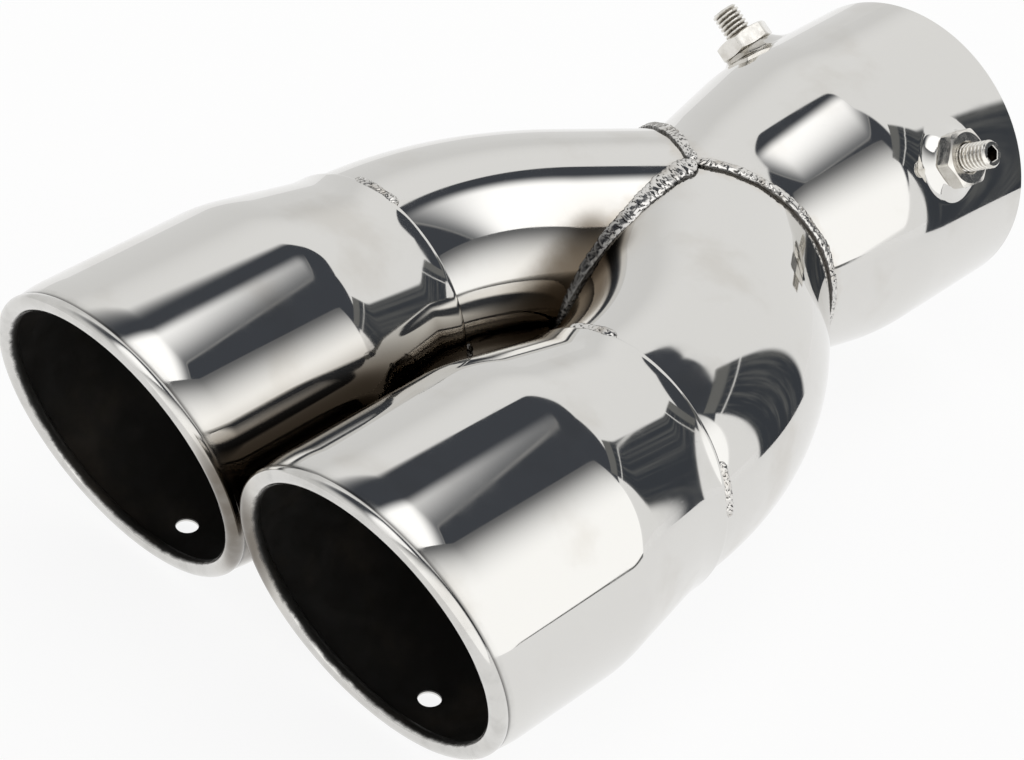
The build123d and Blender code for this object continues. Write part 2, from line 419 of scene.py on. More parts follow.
def boss_lift(points):
    """Moves points of the collar's outer wall up onto the flared bosses under the lock nuts."""
    points = np.array(points, float)
    for angle in SCREW_ANGLES.values():
        axis = np.array([cos(angle), 0, sin(angle)])
        local = points - np.array([0, -SCREW_SETBACK, 0])
        height = local @ axis
        away = np.linalg.norm(local - height[:, None] * axis, axis=1)
        share = np.clip((BOSS_FOOT - away) / (BOSS_FOOT - BOSS_TOP), 0, 1) ** BOSS_FLARE
        lift = np.where(height > 0, (NUT_SEAT - height) * share, 0)
        points += lift[:, None] * axis
    return points


def make_collar(material):
    """The inlet collar: round mouth, bosses, taper and the vee at its far end."""
    neck = COLLAR_STRAIGHT + COLLAR_TAPER
    corners = [
        (COLLAR_RADIUS, 0), (COLLAR_RADIUS, -COLLAR_STRAIGHT),
        (NECK_RADIUS, -neck), (NECK_RADIUS, -VEE_DEPTH - PROFILE_OVERRUN),
    ]
    outer_radius = radius_along(bent_profile(corners, COLLAR_BEND))
    reach = SCREW_WINDOW["reach"]
    window_top = -SCREW_SETBACK + reach * ROW_STEP
    window_end = -SCREW_SETBACK - reach * ROW_STEP
    heights = rows_between(-EDGE_ROUND, window_top, window_end, VEE_ROWS_START)
    row_span = (index_of(heights, window_top) + 1, index_of(heights, window_end) + 1)
    end = np.full(COLUMNS, -VEE_DEPTH)
    for _ in range(VEE_ROUNDS):
        end = -VEE_DEPTH + np.abs(outer_radius(end) * np.cos(ANGLES)) * VEE_RISE
    shape = Shape()
    edges = {}
    for wall, inset in (("outer", 0.0), ("inner", COLLAR_SHEET)):
        def surface(angle, y, inset=inset):
            points = tube_points(0, outer_radius(y) - inset, angle, y)
            return boss_lift(points) if inset == 0 else points
        extra = dict(inside=1.0 if inset else 0.0)
        sign = -1 if inset else 1
        mouth = tube_points(0, COLLAR_RADIUS - inset - sign * EDGE_ROUND, ANGLES, 0.0)
        rows = [shape.add(mouth, seam=SEAM_FAR, **extra)]
        for y in rows_to(heights, end, VEE_ROWS):
            points = surface(ANGLES, y)
            rows.append(shape.add(points, seam=seam_distance(points), **extra))
        windows = []
        rims = []
        for angle in SCREW_ANGLES.values():
            column = int(round(angle / (2 * pi) * COLUMNS))
            place = row_span, (column - reach, column + reach)
            windows.append(place)
            centre = (angle, -SCREW_SETBACK, COLLAR_RADIUS - inset)
            hole = HOLE_RADIUS, SCREW_WINDOW["rings"]
            rims.append(round_window(shape, rows, *place, surface, centre, *hole, seam=SEAM_FAR, **extra))
        shape.grid(rows, windows)
        edges[wall] = (rows[0], rows[-1], rims)
    shape.strip(edges["outer"][0], edges["inner"][0])
    shape.strip(edges["outer"][1], edges["inner"][1])
    for one, two in zip(edges["outer"][2], edges["inner"][2]):
        shape.strip(one, two)
    make_piece("inlet_collar", shape, "weldment", material)


def branch_centre(s):
    """Centre and forward direction along a right-hand branch, s mm from its end inside the tip."""
    straight = BRANCH_INSERT + BRANCH_LEAD
    bend = np.clip((s - straight) / BEND_RADIUS, 0, BEND_ANGLE)
    x = TIP_OFFSET - BEND_RADIUS * (1 - np.cos(bend))
    on_arc = np.stack([x, -BEND_START + BEND_RADIUS * np.sin(bend)], axis=-1)
    ahead = np.stack([-np.sin(bend), np.cos(bend)], axis=-1)
    before = np.minimum(s - straight, 0)[..., None] * np.array([0, 1.0])
    after = np.maximum(s - straight - BEND_RADIUS * BEND_ANGLE, 0)[..., None] * ahead
    return on_arc + before + after, ahead


def branch_points(side, radius, s, angles):
    """Points on a branch's wall, at s along it and an angle round it."""
    centre, ahead = branch_centre(np.asarray(s, float))
    across = np.stack([ahead[..., 1], -ahead[..., 0]], axis=-1)
    flat = centre + across * (radius * np.cos(angles))[..., None]
    return np.stack([side * flat[..., 0], flat[..., 1], radius * np.sin(angles)], axis=-1)


def branch_ends(radius):
    """How far along a branch each line of its wall runs before the middle plane or the vee."""
    s = np.linspace(0, BRANCH_SEARCH["length"], BRANCH_SEARCH["points"])
    ends = []
    for angle in ANGLES:
        points = branch_points(1, radius, s, np.full(len(s), angle))
        past = np.minimum(points[:, 0], -VEE_DEPTH + np.abs(points[:, 0]) * VEE_RISE - points[:, 1])
        stop = int(np.argmax(past < 0))
        share = past[stop - 1] / (past[stop - 1] - past[stop])
        ends.append(s[stop - 1] + share * (s[stop] - s[stop - 1]))
    return np.array(ends)


def make_branch(side, name, material):
    """One bent pipe, mitred on the middle plane and cut to the collar's vee."""
    shape = Shape()
    edges = []
    for radius, inside in ((BRANCH_RADIUS, 0.0), (BRANCH_RADIUS - BRANCH_SHEET, 1.0)):
        ends = branch_ends(radius)
        rows = []
        for share in np.linspace(0, 1, BRANCH_ROWS):
            points = branch_points(side, radius, ends * share, ANGLES)
            depth = TIP_REACH + points[:, 1]
            marks = dict(seam=seam_distance(points), warm=facing(points), soot=soot(points))
            rows.append(shape.add(points, inside=inside, depth=depth, **marks))
        shape.grid(rows)
        edges.append((rows[0], rows[-1]))
    shape.strip(edges[0][0], edges[1][0])
    shape.strip(edges[0][1], edges[1][1])
    make_piece(f"{name}_branch_pipe", shape, "weldment", material)


def lip_profile():
    """(inset from the wall, way ahead of the slanted plane, way into the mouth, painted shade of the crease)
    along the lip.
    """
    middle = LIP_AHEAD - LIP_ROLL
    meet = np.arccos((LIP_INSET - LIP_CREASE) / LIP_ROLL)
    crease = middle - LIP_ROLL * sin(meet)
    line = []
    for share in np.linspace(0, 1, LIP_ROWS["wall"]):
        ahead = -LIP_RUN + (crease + LIP_RUN) * share
        dark = max(0.0, 1 - (1 - share) * LIP_CREASE_FADE["wall"])
        line.append((LIP_CREASE * share ** 2, ahead, ahead - LIP_AHEAD, dark))
    for turn in np.linspace(-meet, LIP_CURL, LIP_ROWS["roll"])[1:]:
        inset = LIP_INSET - LIP_ROLL * cos(turn)
        ahead = middle + LIP_ROLL * sin(turn)
        dark = max(0.0, 1 - (turn + meet) * LIP_CREASE_FADE["roll"])
        line.append((inset, ahead, LIP_ROLL * (turn - pi / 2), dark))
    return line


def make_tip(side, name, material):
    """One outlet tip: sleeve edge, flare, slanted mouth with its roll, inner wall and drain hole."""
    axis = side * TIP_OFFSET
    flare_start = TIP_BACK + TIP_SLEEVE
    flare_end = flare_start + TIP_FLARE
    corners = [
        (SLEEVE_RADIUS, -TIP_BACK), (SLEEVE_RADIUS, -flare_start),
        (TIP_RADIUS, -flare_end), (TIP_RADIUS, -TIP_REACH - PROFILE_OVERRUN),
    ]
    outer_radius = radius_along(bent_profile(corners, TIP_BEND))
    reach = DRAIN_WINDOW["reach"]
    drain_y = DRAIN_SETBACK - TIP_REACH
    window_top = drain_y + reach * ROW_STEP
    window_end = drain_y - reach * ROW_STEP
    heights = rows_between(-TIP_BACK - SLEEVE_ROUND, window_top, window_end)
    first = ROUND_STEPS - 1
    lowest = 3 * COLUMNS // 4
    place = ((index_of(heights, window_top) + first, index_of(heights, window_end) + first),
             (lowest - reach, lowest + reach))
    slant = tan(SLASH)
    shape = Shape()
    edges = {}
    for wall, inset in (("outer", 0.0), ("inner", TIP_SHEET)):
        def surface(angle, y, inset=inset):
            return tube_points(axis, outer_radius(y) - inset, angle, y)
        sign = -1 if inset else 1
        depth = PAINT_FAR if inset else -PAINT_FAR
        rows = []
        for turn in np.linspace(pi / 2, 0, ROUND_STEPS)[:-1]:
            back = SLEEVE_ROUND * (sin(turn) - 1)
            radius = SLEEVE_RADIUS - inset - sign * SLEEVE_ROUND * (1 - cos(turn))
            rows.append(shape.add(tube_points(axis, radius, ANGLES, back - TIP_BACK), paint=depth))
        mouth = -TIP_REACH - slant * TIP_RADIUS * np.sin(ANGLES)
        stop = mouth + (2 * LIP_ROLL - LIP_AHEAD + LIP_TUCK if inset else LIP_RUN)
        for y in rows_to(heights, stop, MOUTH_ROWS):
            points = surface(ANGLES, y)
            rows.append(shape.add(points, paint=depth, warm=facing(points)))
        centre = (-pi / 2, drain_y, TIP_RADIUS - inset)
        hole = DRAIN_RADIUS, DRAIN_WINDOW["rings"]
        rim = round_window(shape, rows, *place, surface, centre, *hole, paint=depth)
        shape.grid(rows, [place])
        edges[wall] = (rows[0], rows[-1], rim)
    shape.strip(edges["outer"][0], edges["inner"][0])
    shape.strip(edges["outer"][2], edges["inner"][2])
    last = edges["outer"][1]
    for inset, ahead, depth, crease in lip_profile()[1:]:
        radius = TIP_RADIUS - inset
        y = -TIP_REACH - slant * radius * np.sin(ANGLES) - ahead
        points = tube_points(axis, radius, ANGLES, y)
        row = shape.add(points, paint=depth, crease=crease, warm=facing(points))
        shape.strip(last, row)
        last = row
    shape.strip(last, edges["inner"][1])
    make_piece(f"{name}_outlet_tip", shape, "weldment", material)


def bead(shape, places, outward, seed, width, height, pitch, girth=None, less_shaded_side=0):
    """A rippled weld bead along a seam: overlapping crescents, uneven in width and height, with round ends.

    The edge carries painted shade on both sides, or less of it on the side that the sign of the last
    argument gives.
    """
    steps = np.linalg.norm(np.diff(places, axis=0), axis=1)
    run = np.concatenate([[0], np.cumsum(steps)])
    at = np.linspace(0, run[-1], int(run[-1] / BEAD_STEP))
    middle = np.stack([np.interp(at, run, places[:, k]) for k in range(3)], axis=-1)
    up = np.stack([np.interp(at, run, outward[:, k]) for k in range(3)], axis=-1)
    ahead = unit(np.gradient(middle, axis=0))
    up = unit(up - ahead * np.sum(up * ahead, axis=1)[:, None])
    across = np.cross(ahead, up)
    rows = []
    for i, s in enumerate(at):
        wander = BEAD_WANDER * width * rough((s, 0, 0), BEAD_LENGTHS["wander"], seed)
        swell = 1 + BEAD_SWELL * rough((s, 0, 0), BEAD_LENGTHS["swell"], seed + 7)
        if girth:
            swell *= girth(s / run[-1])
        nose = min(1.0, min(s, run[-1] - s) / (BEAD_NOSE * width))
        swell *= max(BEAD_TIP, (1 - (1 - nose) ** 2) ** 0.5)
        row, crease, edge = [], [], []
        for turn in 2 * pi * np.arange(BEAD_SECTIONS) / BEAD_SECTIONS:
            lateral, rise = cos(turn), sin(turn)
            fine = rough((s, 5 * lateral, 0), BEAD_LENGTHS["fine"], seed + 3)
            coarse = rough((s, 2 * lateral, 0), BEAD_LENGTHS["coarse"], seed + 9)
            scale = s / pitch + RIPPLE_BOW * lateral ** 2 + RIPPLE_LEAN * lateral
            scale = (scale + RIPPLE_FINE * fine + RIPPLE_COARSE * coarse) % 1.0
            ripple = RIPPLE * (scale ** RIPPLE_POWER - RIPPLE_MEAN)
            lump = BEAD_LUMP * rough((s, 3 * lateral, 2 * rise), BEAD_LENGTHS["lump"], seed + 5)
            size = width / 2 * swell * (1 + RIPPLE_IN_WIDTH * ripple + lump)
            top = height * swell * (1 + RIPPLE_IN_HEIGHT * ripple + lump)
            row.append(middle[i] + across[i] * (wander + size * lateral) + up[i] * (top * rise))
            crease.append(scale)
            # How far out to the bead's foot each point lies, for the painted edge shade
            edge.append(abs(lateral) * (LESS_SHADED_EDGE if lateral * less_shaded_side > 0 else 1))
        rows.append(shape.add(row, crease=crease, edge=edge, soot=soot(row)))
    shape.grid(rows)
    shape.fan(rows[0], middle[0])
    shape.fan(rows[-1], middle[-1])


def crotch_girth(share):
    """The crotch bead is thickest at its ends, by the vee, and thins out in the front of the crotch."""
    front, vee = CROTCH_GIRTH["front"], CROTCH_GIRTH["vee"]
    return front + (vee - front) * abs(2 * share - 1) ** 0.9


def make_beads(material):
    """The collar's bead in two halves and the bead in the crotch."""
    shape = Shape()
    for side, seed in zip(SIDES.values(), (11.0, 31.0)):
        places, outward, valley = collar_seam(side)
        lift = COLLAR_LIFT + valley * COLLAR_BEAD["width"] / 2
        bead(shape, places + outward * lift[:, None], outward, seed, **COLLAR_BEAD, less_shaded_side=side)
    make_piece("collar_weld_bead", shape, "weldment", material, sharp=80)
    shape = Shape()
    places, outward = crotch_seam()
    lift = CROTCH_LIFT * crotch_girth(np.linspace(0, 1, len(places)))
    bead(shape, places + outward * lift[:, None], outward, 51.0, **CROTCH_BEAD, girth=crotch_girth)
    make_piece("crotch_weld_bead", shape, "weldment", material, sharp=80)


def make_tacks(side, name, material):
    """Short beads at the sleeve edge of one tip."""
    shape = Shape()
    middle = np.array([side * TIP_OFFSET, TACK_SETBACK - TIP_BACK, 0])
    for index in range(TACK_COUNT):
        centre = TACK_START[name] + index * 2 * pi / TACK_COUNT
        turn = np.linspace(centre - TACK_SPAN / 2, centre + TACK_SPAN / 2, TACK_PLACES)
        outward = np.stack([side * np.cos(turn), np.zeros(len(turn)), np.sin(turn)], axis=-1)
        places = middle + outward * (BRANCH_RADIUS + TACK_LIFT)
        bead(shape, places, outward, 71.0 + 5 * index + side, **TACK_BEAD)
    make_piece(f"{name}_tip_tack_welds", shape, "weldment", material, sharp=80)


def hexagon_radius(angle, across_flats):
    """Distance from the middle of a hexagon to its edge."""
    sector = pi / 3
    return across_flats / 2 / cos((angle % sector) - sector / 2)


def on_screw(name, points):
    """Places points drawn with Z along the screw, counted from the collar's axis."""
    angle = SCREW_ANGLES[name]
    out = np.array([cos(angle), 0, sin(angle)])
    side = np.array([0, 1.0, 0])
    third = np.cross(out, side)
    return np.asarray(points, float) @ np.stack([side, third, out]) + np.array([0, -SCREW_SETBACK, 0])


def ring(radius, z, count):
    """Points of a ring; its radius and height may be functions of the angle."""
    angles = np.arange(count) * 2 * pi / count
    radii = [radius(a) if callable(radius) else radius for a in angles]
    heights = [z(a) if callable(z) else z for a in angles]
    return np.stack([radii * np.cos(angles), radii * np.sin(angles), heights], axis=-1)


def make_nut(name, material):
    """A hexagon nut, chamfered on both faces and countersunk at its thread."""
    flat = NUT_WIDTH / 2 * NUT_FACE
    widest = NUT_WIDTH / 2 / cos(pi / 6) - NUT_EDGE
    corner = lambda a: min(hexagon_radius(a - NUT_TURNS[name], NUT_WIDTH), widest)
    drop = lambda a: (corner(a) - flat) * tan(NUT_CHAMFER)
    low, high = NUT_SEAT, NUT_SEAT + NUT_THICKNESS
    sunk = HOLE_RADIUS + NUT_SINK
    # The last number of each ring is the painted shade at the bore
    rings = [
        (HOLE_RADIUS, low + NUT_SINK, 0.5), (sunk, low, 0.0), (flat, low, 0.0),
        (corner, lambda a: low + drop(a), 0.0), (corner, lambda a: high - drop(a), 0.0),
        (flat, high, 0.0), (sunk, high, 0.1), (HOLE_RADIUS, high - NUT_SINK, 0.5),
    ]
    shape = Shape()
    rows = [shape.add(on_screw(name, ring(r, z, NUT_COLUMNS)), groove=dark) for r, z, dark in rings]
    shape.grid(rows + rows[:1])
    make_piece(f"{name}_lock_nut", shape, f"{name}_nut", material, sharp=12)


def make_screw(name, material):
    """A set screw with a rolled thread, chamfered ends and a hexagon socket."""
    low, high = SCREW_START, SCREW_START + SCREW_LENGTH
    angles = np.arange(SCREW_COLUMNS) * 2 * pi / SCREW_COLUMNS
    shape = Shape()

    def thread(z):
        """Radius of the thread at each angle, fading into the chamfers, and how deep its groove is there."""
        def at(angle):
            phase = ((z - low) / SCREW_PITCH - angle / (2 * pi)) % 1.0
            crest = min(1.0, max(0.0, abs(2 * phase - 1) * THREAD_SLOPE - THREAD_FLOOR))
            body = SCREW_RADIUS - THREAD_DEPTH * (1 - crest)
            end = min(z - low, high - z)
            limit = SCREW_RADIUS - SCREW_CHAMFER + end
            return min(body, limit), (SCREW_RADIUS - body) * min(1.0, end / SCREW_PITCH)
        return at

    rows = []
    for z in np.linspace(low, high, int(SCREW_LENGTH / SCREW_PITCH * THREAD_ROWS) + 1):
        at = thread(z)
        groove = [at(a)[1] for a in angles]
        rows.append(shape.add(on_screw(name, ring(lambda a: at(a)[0], z, SCREW_COLUMNS)), groove=groove))
    shape.grid(rows)
    shape.fan(rows[0], on_screw(name, (0, 0, low)))
    socket = lambda a: hexagon_radius(a, SOCKET_WIDTH)
    wider = lambda a: socket(a) + SOCKET_CHAMFER
    bottom = high - SOCKET_DEPTH
    last = rows[-1]
    # The last number is the painted shade in the socket
    for radius, z, dark in ((wider, high, 0.0), (socket, high - SOCKET_CHAMFER, 0.5), (socket, bottom, 1.2)):
        row = shape.add(on_screw(name, ring(radius, z, SCREW_COLUMNS)), groove=dark)
        shape.strip(last, row)
        last = row
    shape.fan(last, on_screw(name, (0, 0, bottom - SOCKET_CONE)))
    make_piece(f"{name}_clamp_screw", shape, f"{name}_screw", material, sharp=40)


class Nodes:
    """Shorthand for building a node tree: each call adds nodes and returns the output to go on with."""

    def __init__(self, tree):
        self.tree = tree
        tree.nodes.clear()

    def add(self, kind, inputs=None, **settings):
        """Adds a node, sets it and fills its inputs with values or links, and returns the node itself."""
        node = self.tree.nodes.new(kind)
        for name, value in settings.items():
            setattr(node, name, value)
        for key, value in (inputs or {}).items():
            if isinstance(value, bpy.types.NodeSocket):
                self.tree.links.new(value, node.inputs[key])
            else:
                node.inputs[key].default_value = value
        return node

    def math(self, operation, one, two=0.0, three=0.0):
        return self.add("ShaderNodeMath", {0: one, 1: two, 2: three}, operation=operation).outputs[0]

    def step(self, value, low, high, to_low=0.0, to_high=1.0):
        """Eases from one value to another as the input goes from low to high."""
        inputs = {"Value": value, "From Min": low, "From Max": high, "To Min": to_low, "To Max": to_high}
        return self.add("ShaderNodeMapRange", inputs, interpolation_type="SMOOTHSTEP").outputs["Result"]

    def edge(self, value, place, blur, before=0.0, after=1.0):
        """Goes from one value to another over a blurred edge."""
        return self.step(value, place - blur / 2, place + blur / 2, before, after)

    def line(self, x, y, along_x, along_y, start):
        """along_x * x + along_y * y + start."""
        return self.math("MULTIPLY_ADD", x, along_x, self.math("MULTIPLY_ADD", y, along_y, start))

    def mix(self, factor, one, two):
        return self.add("ShaderNodeMix", {0: factor, 6: one, 7: two}, data_type="RGBA").outputs[2]

    def noise(self, scale, detail=3.0, roughness=0.5, stretch=(1, 1, 1)):
        vector = self.add("ShaderNodeTexCoord").outputs["Object"]
        mapped = self.add("ShaderNodeMapping", {"Vector": vector, "Scale": stretch}).outputs[0]
        inputs = {"Vector": mapped, "Scale": scale, "Detail": detail, "Roughness": roughness}
        return self.add("ShaderNodeTexNoise", inputs).outputs["Fac"]

    def attribute(self, name):
        return self.add("ShaderNodeAttribute", attribute_name=name).outputs["Fac"]


def new_material(name):
    """An empty node material and its tree."""
    material = bpy.data.materials.new(name)
    material.use_nodes = True
    return material, Nodes(material.node_tree)


def finish_material(nodes, colour, roughness, bump=None, metal=1.0):
    """The surface's shader, joined to the output."""
    inputs = {"Base Color": colour, "Metallic": metal, "Roughness": roughness}
    if bump is not None:
        inputs["Normal"] = bump
    shader = nodes.add("ShaderNodeBsdfPrincipled", inputs)
    nodes.add("ShaderNodeOutputMaterial", {"Surface": shader.outputs[0]})


# Colours of the materials
STEEL = (0.700, 0.690, 0.668, 1)
STEEL_STAIN = (0.640, 0.622, 0.590, 1)
HEAT_STRAW = (0.480, 0.400, 0.300, 1)
# Soot with painted shade in the front of the crotch
SOOT_SHADE_BROWN = (0.130, 0.095, 0.060, 1)
# Painted reflection and painted shade where the outlets face each other
GAP_REFLECTION_TINT = (0.590, 0.530, 0.440, 1)
GAP_SHADE_BROWN = (0.080, 0.060, 0.040, 1)
INSIDE_STEEL = (0.300, 0.285, 0.262, 1)
# Grey of the lip: painted shade of its darker surroundings
LIP_SHADE_GREY = (0.400, 0.390, 0.370, 1)
BLACK_PAINT = (0.012, 0.0112, 0.0100, 1)
BLACK_DUST = (0.034, 0.028, 0.022, 1)
WELD = (0.700, 0.685, 0.660, 1)
WELD_TINT = (0.430, 0.390, 0.340, 1)
# Dark of painted shade in creases and gaps, and of soot with painted shade
DARK_SHADE_AND_SOOT = (0.030, 0.028, 0.026, 1)
NICKEL = (0.770, 0.750, 0.710, 1)
NICKEL_TINT = (0.660, 0.635, 0.590, 1)
# Painted shade in the thread's groove, the nut's bore and the socket
GROOVE_SHADE = (0.165, 0.148, 0.125, 1)
SOCKET_SHADE = (0.050, 0.036, 0.026, 1)


def polished(nodes):
    """Colour, roughness and bump of hand-polished stainless steel."""
    stain = nodes.step(nodes.noise(55.0, 4.0), 0.52, 0.75)
    colour = nodes.mix(stain, STEEL, STEEL_STAIN)
    scratches = nodes.step(nodes.noise(1400.0, 2.0, stretch=(1.0, 0.08, 1.0)), 0.70, 0.76)
    haze = nodes.step(nodes.noise(140.0, 3.0), 0.35, 0.75, 0.03, 0.075)
    roughness = nodes.math("MULTIPLY_ADD", scratches, 0.05, haze)
    waves = nodes.noise(22.0, 1.0)
    bump = nodes.add("ShaderNodeBump", {"Strength": 0.05, "Distance": 0.002, "Height": waves})
    return colour, roughness, bump.outputs[0]


def warmed(nodes, colour):
    """Paints shade and a warm reflection of the other outlet onto the sides of the outlets that face each
    other, darkest where the gap is narrow.
    """
    warm = nodes.attribute("warm")
    colour = nodes.mix(nodes.math("MULTIPLY", warm, 0.4), colour, GAP_REFLECTION_TINT)
    return nodes.mix(nodes.step(warm, 0.4, 1.0, 0.0, 0.86), colour, GAP_SHADE_BROWN)


def steel_material():
    """Polished outside with a faint heat tint by the seams, soot with painted shade in the front of the
    crotch, painted shade and reflection where the outlets face each other, a painted shade line under the
    sleeve edge, and dull grey inside.
    """
    material, nodes = new_material("polished_steel_look")
    colour, roughness, bump = polished(nodes)
    uneven = nodes.noise(420.0, 3.0)
    seam = nodes.math("MULTIPLY_ADD", uneven, 5.0, nodes.attribute("seam"))
    heat = nodes.math("MULTIPLY", nodes.step(seam, 3.2, 7.0, 1.0, 0.0), 0.30)
    colour = nodes.mix(heat, colour, HEAT_STRAW)
    # Soot with painted shade towards the front of the crotch, near the seams
    soot_shade = nodes.math("MULTIPLY", nodes.step(seam, 3.0, 14.0, 0.85, 0.0), nodes.attribute("soot"))
    colour = nodes.mix(soot_shade, colour, SOOT_SHADE_BROWN)
    # Painted shade and reflection where the outlets face each other
    colour = warmed(nodes, colour)
    depth = nodes.attribute("depth")
    # Painted shade and reflection in the gap under the sleeve edge: a thin dark line on the branch
    under_sleeve = nodes.step(depth, TIP_LENGTH + 0.25, TIP_LENGTH + 0.7, 0.9, 0.0)
    on_branch = nodes.step(depth, 1.0, 2.0)
    colour = nodes.mix(nodes.math("MULTIPLY", under_sleeve, on_branch), colour, DARK_SHADE_AND_SOOT)
    inside = nodes.step(nodes.attribute("inside"), 0.4, 0.6)
    colour = nodes.mix(inside, colour, INSIDE_STEEL)
    roughness = nodes.math("MULTIPLY_ADD", inside, 0.3, roughness)
    finish_material(nodes, colour, roughness, bump)
    return material


def tip_material():
    """Polished outside, with painted shade and reflection where the outlets face each other, painted shade
    in the lip's crease, a rougher lip greyed with painted shade, and matt black paint inside that ends
    unevenly on the lip.
    """
    material, nodes = new_material("outlet_steel_look")
    colour, roughness, bump = polished(nodes)
    # Painted shade and reflection where the outlets face each other
    colour = warmed(nodes, colour)
    # Painted shade in the crease where the roll meets the wall
    colour = nodes.mix(nodes.math("MULTIPLY", nodes.attribute("crease"), 0.85), colour, DARK_SHADE_AND_SOOT)
    depth = nodes.attribute("paint")
    # The lip is rougher, and greyed with painted shade of its darker surroundings, unevenly along the
    # streaks
    satin_and_shade = nodes.step(depth, -4.6, -3.4)
    streaks = nodes.step(nodes.noise(230.0, 3.0), 0.4, 0.75)
    lip_shade = nodes.math("MULTIPLY", satin_and_shade, nodes.math("MULTIPLY_ADD", streaks, 0.25, 0.12))
    colour = nodes.mix(lip_shade, colour, LIP_SHADE_GREY)
    dulled = nodes.math("MULTIPLY_ADD", streaks, 0.06, 0.07)
    roughness = nodes.math("MULTIPLY_ADD", satin_and_shade, dulled, roughness)
    edge = nodes.math("MULTIPLY_ADD", nodes.noise(420.0, 5.0, 0.65), 1.5, depth)
    paint = nodes.step(edge, 2.2, 3.2)
    dust = nodes.step(nodes.noise(60.0, 5.0, 0.6), 0.45, 0.8)
    colour = nodes.mix(paint, colour, nodes.mix(dust, BLACK_PAINT, BLACK_DUST))
    dull = nodes.step(nodes.noise(300.0, 3.0), 0.3, 0.8, 0.42, 0.6)
    roughness = nodes.add("ShaderNodeMix", {0: paint, 2: roughness, 3: dull}).outputs[0]
    finish_material(nodes, colour, roughness, bump, nodes.math("SUBTRACT", 1.0, paint))
    return material


def weld_material():
    """Bright rippled bead with painted shade in its thin creases and along its edges, soot with painted
    shade on the crotch bead's front, and a brown tint here and there.
    """
    material, nodes = new_material("weld_metal_look")
    tint = nodes.step(nodes.noise(220.0, 3.0), 0.50, 0.72, 0.0, 0.7)
    colour = nodes.mix(tint, WELD, WELD_TINT)
    uneven = nodes.noise(900.0, 3.0)
    # Painted shade in the creases between the ripples
    line = nodes.math("MULTIPLY_ADD", uneven, 0.3, nodes.attribute("crease"))
    crease = nodes.step(line, 0.30, 0.46, 0.95, 0.0)
    # Painted shade along the bead's foot, less on its paler side
    rim = nodes.math("MULTIPLY_ADD", uneven, 0.35, nodes.attribute("edge"))
    rim = nodes.step(rim, 0.98, 1.10, 0.0, 0.92)
    # Soot with painted shade on the front of the crotch bead
    soot_shade = nodes.math("MULTIPLY", nodes.attribute("soot"), 0.85)
    dark = nodes.math("MAXIMUM", nodes.math("MAXIMUM", crease, rim), soot_shade)
    colour = nodes.mix(dark, colour, DARK_SHADE_AND_SOOT)
    roughness = nodes.step(nodes.noise(500.0, 3.0), 0.3, 0.7, 0.08, 0.24)
    height = nodes.noise(1100.0, 2.0)
    bump = nodes.add("ShaderNodeBump", {"Strength": 0.14, "Distance": 0.0003, "Height": height}).outputs[0]
    finish_material(nodes, colour, roughness, bump)
    return material


def fastener_material():
    """Warm bright nickel, with painted shade at the bottom of the thread, in the nut's bore and in the
    socket.
    """
    material, nodes = new_material("fastener_steel_look")
    tint = nodes.step(nodes.noise(350.0, 3.0), 0.4, 0.7)
    colour = nodes.mix(tint, NICKEL, NICKEL_TINT)
    depth = nodes.attribute("groove")
    # Painted shade in the thread's groove and the nut's bore
    colour = nodes.mix(nodes.step(depth, 0.28, 0.60, 0.0, 0.9), colour, GROOVE_SHADE)
    # Painted shade deep in the socket
    colour = nodes.mix(nodes.step(depth, 0.7, 1.0, 0.0, 0.95), colour, SOCKET_SHADE)
    roughness = nodes.step(nodes.noise(900.0, 3.0), 0.3, 0.7, 0.14, 0.26)
    finish_material(nodes, colour, roughness)
    return material


# Light tent round the part: each panel's place and limits, the blur of its edges, and its light
WHITE = (1, 1, 1, 1)
TENT_LIGHT = (0.960, 0.960, 0.955, 1)
TENT_SHADE = (0.810, 0.810, 0.805, 1)
CEILING_HEIGHT = 221.7
CEILING_SPAN = 900.0
CEILING_SHADE = (-420.0, -160.0)
OPENING = {
    "left": -105.5, "left_slant": 0.526, "far": 56.2, "far_slant": 0.457,
    "flat": 66.0, "corner": 40.0, "front": -324.9,
}
OPENING_BLUR = 6.0
OPENING_SOFT_FROM = 0.0
OPENING_FRONT_BLUR = 1.3
SOFTBOX_HEIGHT = 1182.7
SOFTBOX_SPAN = 4000.0
SOFTBOX = {
    "turn": 0.313, "far": 729.4, "far_blur": 24.0, "bright": 430.0,
    "left": -185.0, "left_blur": 210.0, "rim": 10.0,
}
SOFTBOX_LIGHT = (1.50, 1.50, 1.50, 1)
SOFTBOX_DIM = (0.175, 0.180, 0.190, 1)
SOFTBOX_RIM = (0.30, 0.30, 0.30, 1)
ABOVE = (0.062, 0.068, 0.080, 1)
SHEET_FOOT = -60.0
SIDE = {
    "x": 277.8, "along_y": 0.175, "along_z": -0.181, "top": 383.2, "fade": 257.0, "front": -900.0,
    "end": 95.3, "end_rise": 0.256, "blur": 9.0, "foot": -41.0, "foot_blur": 1.6,
}
SIDE_LIGHT = (1.34, 1.34, 1.33, 1)
SIDE_DIM = (0.159, 0.161, 0.166, 1)
FLAG = {
    "y": 119.0, "x": (105.6, 226.0), "blur": 9.0, "below_ceiling": 1.0, "folds": 6.0,
    "grey": (186.0, 194.0), "line": (166.5, 171.5), "line_blur": 2.0,
}
FLAG_DARK = (0.050, 0.056, 0.066, 1)
FLAG_GREY = (0.170, 0.172, 0.168, 1)
FLAG_LINE = (0.70, 0.70, 0.69, 1)
WORLD_SHADE = (-0.75, -0.35)
FLOOR = {"x": (-700.0, 520.0), "y": (-800.0, 400.0), "gap": 0.05}
FLOOR_WHITE = (0.94, 0.94, 0.935, 1)
FLOOR_GLOW = 0.88


